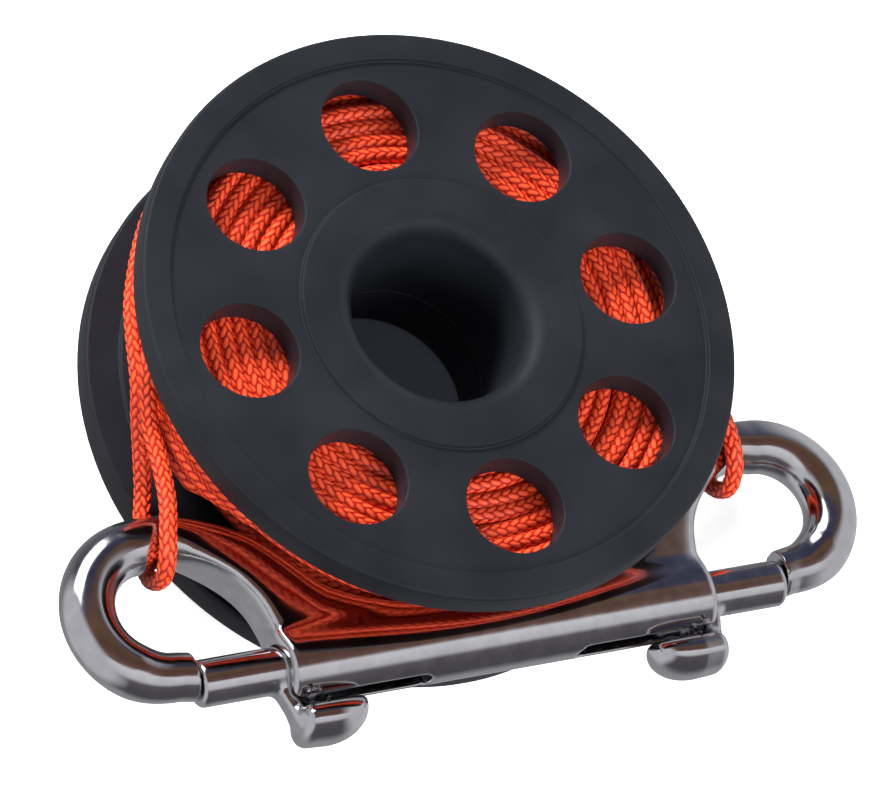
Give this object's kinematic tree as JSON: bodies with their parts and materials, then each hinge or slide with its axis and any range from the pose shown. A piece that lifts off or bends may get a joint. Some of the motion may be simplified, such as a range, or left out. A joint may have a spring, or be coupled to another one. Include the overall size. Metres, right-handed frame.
{
  "type": "finger spool",
  "caption": "Flanged plastic reel wound with braided line, with a double-ended bolt snap stored between its flanges and held by the line's end loop.",
  "frame": {"origin": "under the middle of the rigid pieces' bounding box, on the plane that the rear flange rests on", "axes": "+Z along the reel's axis from the rear flange to the front flange, +X along the snap from its left end to its right end, and +Y from the snap to the far side of the reel"},
  "size_m": [0.1156, 0.09, 0.0288],
  "materials": {
    "black_plastic": "satin charcoal-black moulded acetal",
    "orange_line": "braided nylon line, bright orange-red",
    "polished_steel": "mirror-polished marine stainless steel",
    "spring_steel": "drawn spring wire"
  },
  "bodies": {
    "reel": {"spool_front_half": "black_plastic", "spool_rear_half": "black_plastic", "line_core": "orange_line", "line_outer_layer": "orange_line", "line_end_loop": "orange_line"},
    "snap": {"snap_body": "polished_steel", "spring_left": "spring_steel", "spring_right": "spring_steel"},
    "bolt_left": {"bolt_left": "polished_steel"},
    "bolt_right": {"bolt_right": "polished_steel"}
  },
  "joints": [
    {"name": "snap_pull", "type": "slide", "parent": "reel", "child": "snap", "axis": [0, -1, 0], "range_m": [0, 0.015], "deforming": ["line_end_loop"]},
    {"name": "left_bolt_slide", "type": "slide", "parent": "snap", "child": "bolt_left", "axis": [1, 0, 0], "range_m": [0, 0.016], "stiffness_N_per_m": 250, "springref_m": -0.006, "deforming": ["spring_left"]},
    {"name": "right_bolt_slide", "type": "slide", "parent": "snap", "child": "bolt_right", "axis": [-1, 0, 0], "range_m": [0, 0.016], "stiffness_N_per_m": 250, "springref_m": -0.006, "deforming": ["spring_right"]}
  ]
}
